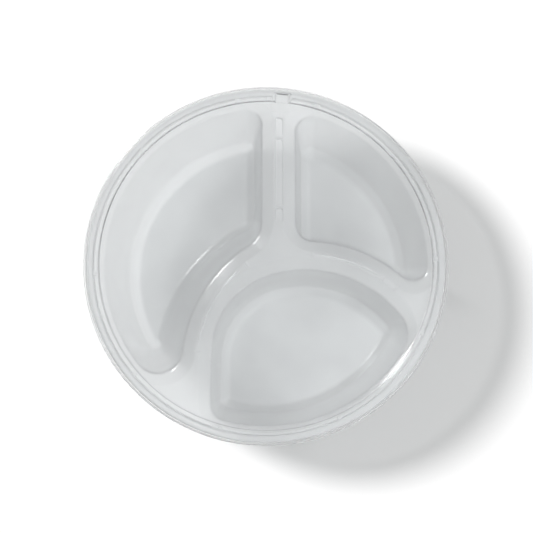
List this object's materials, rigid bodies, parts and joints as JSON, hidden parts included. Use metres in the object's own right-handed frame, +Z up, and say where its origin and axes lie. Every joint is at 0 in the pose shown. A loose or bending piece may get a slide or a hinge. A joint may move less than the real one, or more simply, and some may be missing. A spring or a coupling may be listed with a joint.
{
  "type": "divided dish",
  "caption": "Round, shallow dish of thin clear plastic, divided by curved walls into separate flat-floored compartments, with a loose clear cover that lifts off.",
  "frame": {"origin": "centre of the base, on the surface that the dish stands on", "axes": "+Z up out of the compartments, +Y along the straight divider towards the rim's notch, +X to the right of it, seen from above"},
  "size_m": [0.23, 0.23, 0.0485],
  "materials": {
    "dish_plastic": "milky translucent plastic, glossy, with a faint haze",
    "cover_plastic": "clear plastic, glossy"
  },
  "bodies": {
    "dish": {"dish": "dish_plastic"},
    "cover": {"cover": "cover_plastic"}
  },
  "joints": [
    {"name": "cover_lift", "type": "slide", "parent": "dish", "child": "cover", "axis": [0, 0, 1], "range_m": [0, 0.1]}
  ]
}
